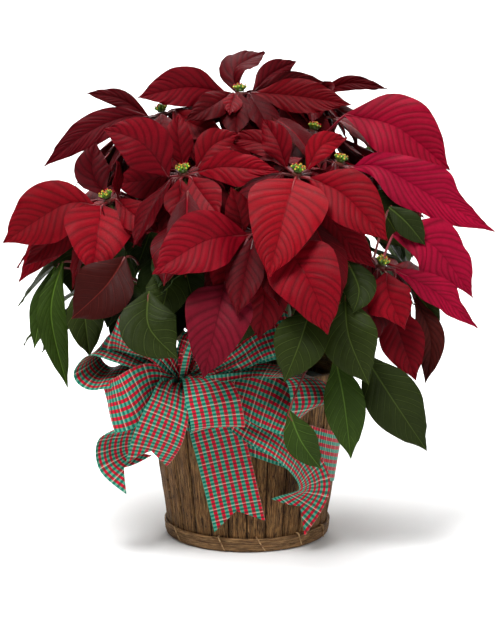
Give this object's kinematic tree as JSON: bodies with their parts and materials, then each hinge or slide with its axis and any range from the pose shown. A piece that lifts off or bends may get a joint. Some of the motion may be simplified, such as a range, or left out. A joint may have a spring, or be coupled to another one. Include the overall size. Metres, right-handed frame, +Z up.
{
  "type": "potted poinsettia in a basket",
  "caption": "Red poinsettia with dark green leaves in a round basket of bark staves, with a plaid ribbon round it and a bow near the rim.",
  "frame": {"origin": "middle of the basket's foot, on the surface that it stands on", "axes": "+Z up, X to the viewer's right and Y away from the viewer, who sees the bow's side of the basket"},
  "size_m": [0.476, 0.4204, 0.4828],
  "materials": {
    "bracts": "soft red bract with raised veins",
    "cyathia": "smooth green and yellow bud",
    "plant": "dark green leaf and stem",
    "bark": "rough dark bark",
    "wood": "plain split wood",
    "wire": "dull tan wire",
    "plastic": "dark green thin plastic",
    "soil": "damp crumbly potting mix",
    "ribbon": "shiny woven plaid ribbon"
  },
  "bodies": {
    "root": {"bracts_01": "bracts", "bracts_02": "bracts", "bracts_03": "bracts", "bracts_04": "bracts", "bracts_05": "bracts", "bracts_06": "bracts", "bracts_07": "bracts", "bracts_08": "bracts", "bracts_09": "bracts", "bracts_10": "bracts", "bracts_11": "bracts", "bracts_12": "bracts", "bracts_13": "bracts", "bracts_14": "bracts", "cyathia_01": "cyathia", "cyathia_02": "cyathia", "cyathia_03": "cyathia", "cyathia_04": "cyathia", "cyathia_05": "cyathia", "cyathia_06": "cyathia", "cyathia_07": "cyathia", "cyathia_08": "cyathia", "cyathia_09": "cyathia", "cyathia_10": "cyathia", "cyathia_11": "cyathia", "cyathia_12": "cyathia", "cyathia_13": "cyathia", "cyathia_14": "cyathia", "plant_1": "plant", "plant_2": "plant", "plant_3": "plant", "bark_wall": "bark", "basket_floor": "wood", "foot_hoop": "wood", "rim_hoop": "wood", "hoop_tie_1": "wire", "hoop_tie_2": "wire", "hoop_tie_3": "wire", "hoop_tie_4": "wire", "hoop_tie_5": "wire", "hoop_tie_6": "wire", "hoop_tie_7": "wire", "hoop_tie_8": "wire", "grow_pot": "plastic", "soil": "soil", "ribbon_band": "ribbon", "ribbon_bow": "ribbon"}
  },
  "joints": []
}
